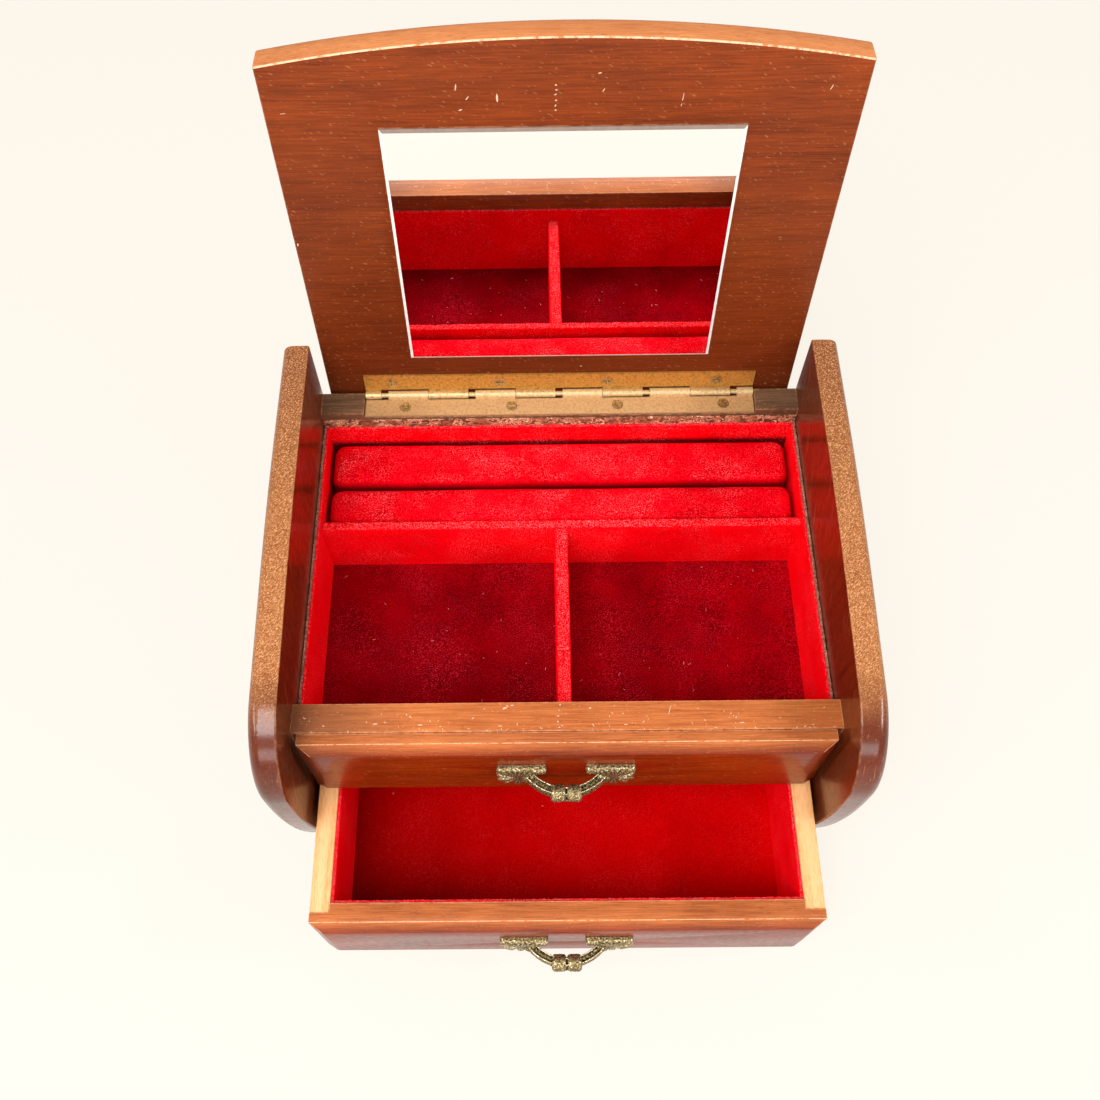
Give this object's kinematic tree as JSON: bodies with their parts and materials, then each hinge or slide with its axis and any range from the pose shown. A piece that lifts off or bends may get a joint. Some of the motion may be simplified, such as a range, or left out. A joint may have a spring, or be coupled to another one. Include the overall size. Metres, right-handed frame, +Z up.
{
  "type": "musical jewelry box",
  "caption": "Lacquered wooden musical jewelry box: hinged lid with a mirror, velvet tray with ring rolls, false front over a velvet-lined drawer, and a wind-up movement.",
  "frame": {"origin": "centre of the underside, midway between the panels' front and back edges", "axes": "+X to the right, +Y to the back, +Z up"},
  "size_m": [0.248, 0.2834, 0.2893],
  "materials": {
    "mahogany": "gloss lacquer over reddish-brown stained wood",
    "drawer_wood": "bare pale wood",
    "plywood": "bare plywood",
    "velvet": "red velvet",
    "velvet_floor": "worn dark red velvet",
    "hinge_brass": "brass-plated steel, worn",
    "cast_brass": "antiqued cast brass",
    "mirror": "bevelled mirror",
    "screw_steel": "plated steel",
    "die_cast_zinc": "die cast",
    "spring_steel": "ground spring steel",
    "movement_brass": "turned brass",
    "key_metal": "pressed brass-plated key"
  },
  "bodies": {
    "case": {"side_panel_left": "mahogany", "side_panel_right": "mahogany", "base_board": "mahogany", "rear_rail": "mahogany", "front_wall": "mahogany", "tray_floor_board": "plywood", "back_panel": "plywood", "back_panel_screws": "screw_steel", "corner_block_left": "drawer_wood", "corner_block_right": "drawer_wood", "drawer_guide_left": "drawer_wood", "drawer_guide_right": "drawer_wood", "drawer_stop_left": "drawer_wood", "drawer_stop_right": "drawer_wood", "bay_partition": "plywood", "false_drawer_front": "mahogany", "upper_pull": "cast_brass", "upper_pull_screws": "screw_steel", "tray_lining_left": "velvet", "tray_lining_right": "velvet", "tray_lining_back": "velvet", "tray_lining_front": "velvet", "tray_lining_floor": "velvet_floor", "cross_divider": "velvet", "middle_divider": "velvet", "ring_roll_rear": "velvet", "ring_roll_front": "velvet", "hinge_leaf_lower": "hinge_brass", "hinge_pin": "hinge_brass", "hinge_screws_lower": "screw_steel", "movement_bedplate": "die_cast_zinc", "movement_screws": "screw_steel", "music_comb": "spring_steel", "comb_screws": "screw_steel"},
    "lid": {"lid_panel": "mahogany", "mirror": "mirror", "hinge_leaf_upper": "hinge_brass", "hinge_screws_upper": "screw_steel"},
    "drawer": {"drawer_front": "mahogany", "drawer_side_left": "drawer_wood", "drawer_side_right": "drawer_wood", "drawer_back": "drawer_wood", "drawer_bottom": "plywood", "drawer_lining_floor": "velvet_floor", "drawer_lining_left": "velvet", "drawer_lining_right": "velvet", "drawer_lining_front": "velvet", "drawer_lining_rear": "velvet", "lower_pull": "cast_brass", "lower_pull_screws": "screw_steel"},
    "winder": {"winding_arbor": "screw_steel", "winding_key": "key_metal"},
    "music_cylinder": {"pinned_cylinder": "movement_brass", "cylinder_axle_and_gears": "movement_brass"},
    "barrel": {"spring_barrel": "movement_brass", "mainspring": "spring_steel"},
    "governor": {"governor_wheel": "movement_brass"},
    "fan": {"governor_fan": "movement_brass"},
    "stop_rod": {"stop_rod": "screw_steel"}
  },
  "joints": [
    {"name": "lid_hinge", "type": "hinge", "parent": "case", "child": "lid", "pos_m": [0, 0.09838, 0.1162], "axis": [1, 0, 0], "range_deg": [0, 94.8]},
    {"name": "drawer_slide", "type": "slide", "parent": "case", "child": "drawer", "axis": [0, 1, 0], "range_m": [-0.03, 0.06]},
    {"name": "key_turn", "type": "hinge", "parent": "case", "child": "winder", "pos_m": [-0.014, 0.09425, 0.041], "axis": [0, 1, 0], "continuous": true},
    {"name": "cylinder_spin", "type": "hinge", "parent": "case", "child": "music_cylinder", "pos_m": [0, 0.07935, 0.041], "axis": [1, 0, 0], "continuous": true},
    {"name": "barrel_spin", "type": "hinge", "parent": "case", "child": "barrel", "pos_m": [-0.014, 0.09425, 0.041], "axis": [0, 1, 0], "continuous": true},
    {"name": "governor_spin", "type": "hinge", "parent": "case", "child": "governor", "pos_m": [0, 0.07935, 0.051], "axis": [1, 0, 0], "continuous": true},
    {"name": "fan_spin", "type": "hinge", "parent": "case", "child": "fan", "pos_m": [0, 0.08501, 0.05666], "axis": [1, 0, 0], "continuous": true},
    {"name": "stop_rod_push", "type": "slide", "parent": "case", "child": "stop_rod", "axis": [0, 1, 0], "range_m": [0, 0.003], "stiffness_N_per_m": 30, "springref_m": -0.002}
  ],
  "couplings": [
    {"joint": "barrel_spin", "follows": "cylinder_spin", "ratio": -0.25},
    {"joint": "governor_spin", "follows": "cylinder_spin", "ratio": -4},
    {"joint": "fan_spin", "follows": "cylinder_spin", "ratio": 12}
  ]
}
